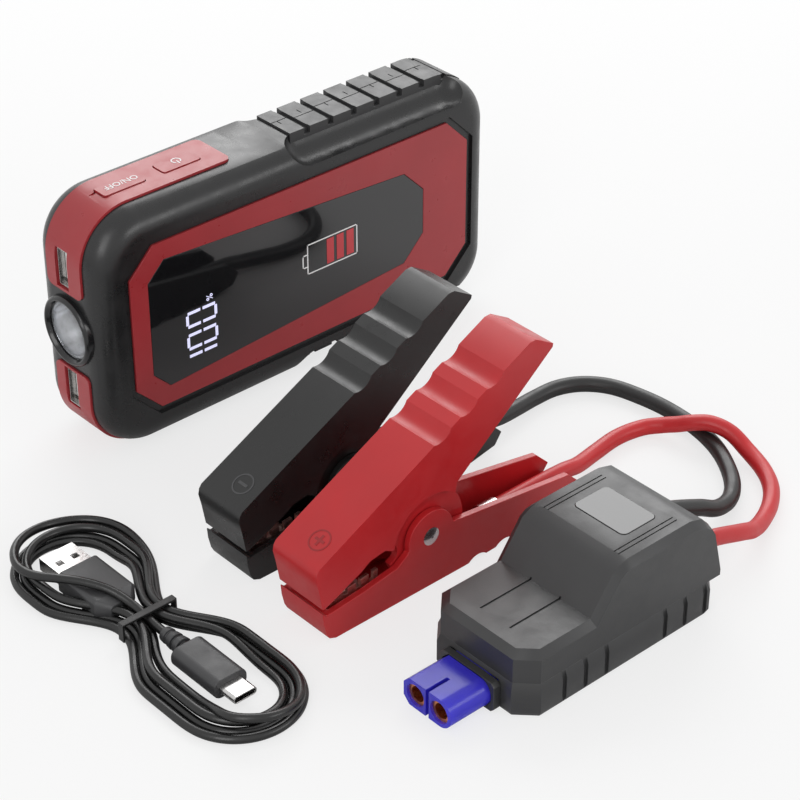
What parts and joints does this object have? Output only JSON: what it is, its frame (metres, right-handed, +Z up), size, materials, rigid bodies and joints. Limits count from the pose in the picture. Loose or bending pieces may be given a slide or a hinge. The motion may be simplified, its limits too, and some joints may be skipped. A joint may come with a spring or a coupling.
{
  "type": "jump starter kit",
  "caption": "Car jump starter power pack with torch, display and USB ports, its clamp leads with smart box, and a charging cable.",
  "frame": {"origin": "middle of the kit's footprint without the charging cable and the leads' free cable, on the surface that it stands on", "axes": "+X along the pack, from its torch end to its socket end; -Y is the side of the display and of the clamps; +Z up"},
  "size_m": [0.226, 0.213, 0.0871],
  "materials": {
    "shell_grey": "moulded mid-dark grey plastic, satin",
    "grip_rubber": "soft-touch grey over-moulding",
    "face_red": "deep red satin plastic",
    "window_black": "smoked black display pane",
    "module_black": "black plastic",
    "bezel_black": "black gloss ring",
    "reflector_chrome": "vacuum-plated bowl",
    "lens_clear": "clear moulded lens",
    "led_yellow": "phosphor-coated LED on a white base",
    "port_metal": "nickel-plated steel",
    "tongue_white": "white contact carrier",
    "plug_blue": "blue nylon",
    "contact_brass": "gold-plated brass",
    "contact_copper": "copper-coloured plated contact",
    "cover_rubber": "black rubber",
    "cell_foil": "foil pouch",
    "board_green": "green circuit board",
    "screw_steel": "zinc-plated steel",
    "box_grey": "moulded dark grey plastic",
    "badge_black": "smooth black plate",
    "lead_red": "red silicone jacket",
    "lead_black": "black silicone jacket",
    "cable_black": "black cable jacket",
    "plug_grey": "moulded black plug body",
    "tie_black": "black twist tie",
    "clamp_red": "red nylon",
    "clamp_black": "black nylon",
    "rivet_steel": "bright plated rivet",
    "spring_steel": "spring steel wire",
    "jaw_copper": "copper-plated steel",
    "crimp_steel": "tinned crimp"
  },
  "bodies": {
    "pack": {"front_shell": "shell_grey", "rear_shell": "shell_grey", "grip_top": "grip_rubber", "grip_bottom": "grip_rubber", "face_frame": "face_red", "display_window": "window_black", "display_module": "module_black", "trim_upper": "face_red", "trim_lower": "face_red", "button_switches": "module_black", "torch_bezel": "bezel_black", "torch_reflector": "reflector_chrome", "torch_lens": "lens_clear", "torch_led": "led_yellow", "usb_port_upper": "port_metal", "usb_port_lower": "port_metal", "usb_tongues": "tongue_white", "usb_c_port": "port_metal", "socket_housing": "plug_blue", "socket_pins": "contact_brass", "battery_cells": "cell_foil", "main_pcb": "board_green", "housing_screws": "screw_steel"},
    "power_button": {"power_button": "face_red"},
    "onoff_button": {"onoff_button": "face_red"},
    "socket_cover": {"socket_cover": "cover_rubber"},
    "lead_set": {"box_base": "box_grey", "box_cover": "box_grey", "box_badge": "badge_black", "box_pcb": "board_green", "box_relay": "module_black", "box_screws": "screw_steel", "plug_collar": "box_grey", "plug_housing": "plug_blue", "plug_contacts": "contact_copper", "lead_glands": "box_grey", "lead_red": "lead_red", "lead_black": "lead_black", "red_clamp_lower": "clamp_red", "red_rivet": "rivet_steel", "red_spring": "spring_steel", "red_jaw_lower": "jaw_copper", "red_crimp": "crimp_steel", "black_clamp_lower": "clamp_black", "black_rivet": "rivet_steel", "black_spring": "spring_steel", "black_jaw_lower": "jaw_copper", "black_crimp": "crimp_steel"},
    "red_handle": {"red_clamp_upper": "clamp_red", "red_jaw_upper": "jaw_copper"},
    "black_handle": {"black_clamp_upper": "clamp_black", "black_jaw_upper": "jaw_copper"},
    "usb_cable": {"usb_bundle": "cable_black", "usb_a_plug": "plug_grey", "usb_a_shell": "port_metal", "usb_c_plug": "plug_grey", "usb_c_shell": "port_metal", "cable_tie": "tie_black"}
  },
  "joints": [
    {"name": "power_press", "type": "slide", "parent": "pack", "child": "power_button", "axis": [0, 0, -1], "range_m": [0, 0.0006], "stiffness_N_per_m": 1500, "springref_m": -0.0008},
    {"name": "onoff_press", "type": "slide", "parent": "pack", "child": "onoff_button", "axis": [0, 0, -1], "range_m": [0, 0.0006], "stiffness_N_per_m": 1500, "springref_m": -0.0008},
    {"name": "cover_hinge", "type": "hinge", "parent": "pack", "child": "socket_cover", "pos_m": [0.0875, 0.0967, 0.0434], "axis": [0, 0, 1], "range_deg": [0, 120]},
    {"name": "lead_set_lift", "type": "slide", "parent": "pack", "child": "lead_set", "axis": [0, 0, 1], "range_m": [0, 0.1]},
    {"name": "usb_cable_lift", "type": "slide", "parent": "pack", "child": "usb_cable", "axis": [0, 0, 1], "range_m": [0, 0.1]},
    {"name": "red_clamp_open", "type": "hinge", "parent": "lead_set", "child": "red_handle", "pos_m": [-0.0433, -0.0322, 0.0182], "axis": [0, 1, 0], "range_deg": [0, 30], "stiffness_Nm_per_rad": 1, "springref_deg": -20.05},
    {"name": "black_clamp_open", "type": "hinge", "parent": "lead_set", "child": "black_handle", "pos_m": [-0.0423, 0.0039, 0.0182], "axis": [0, 1, 0], "range_deg": [0, 30], "stiffness_Nm_per_rad": 1, "springref_deg": -20.05}
  ]
}
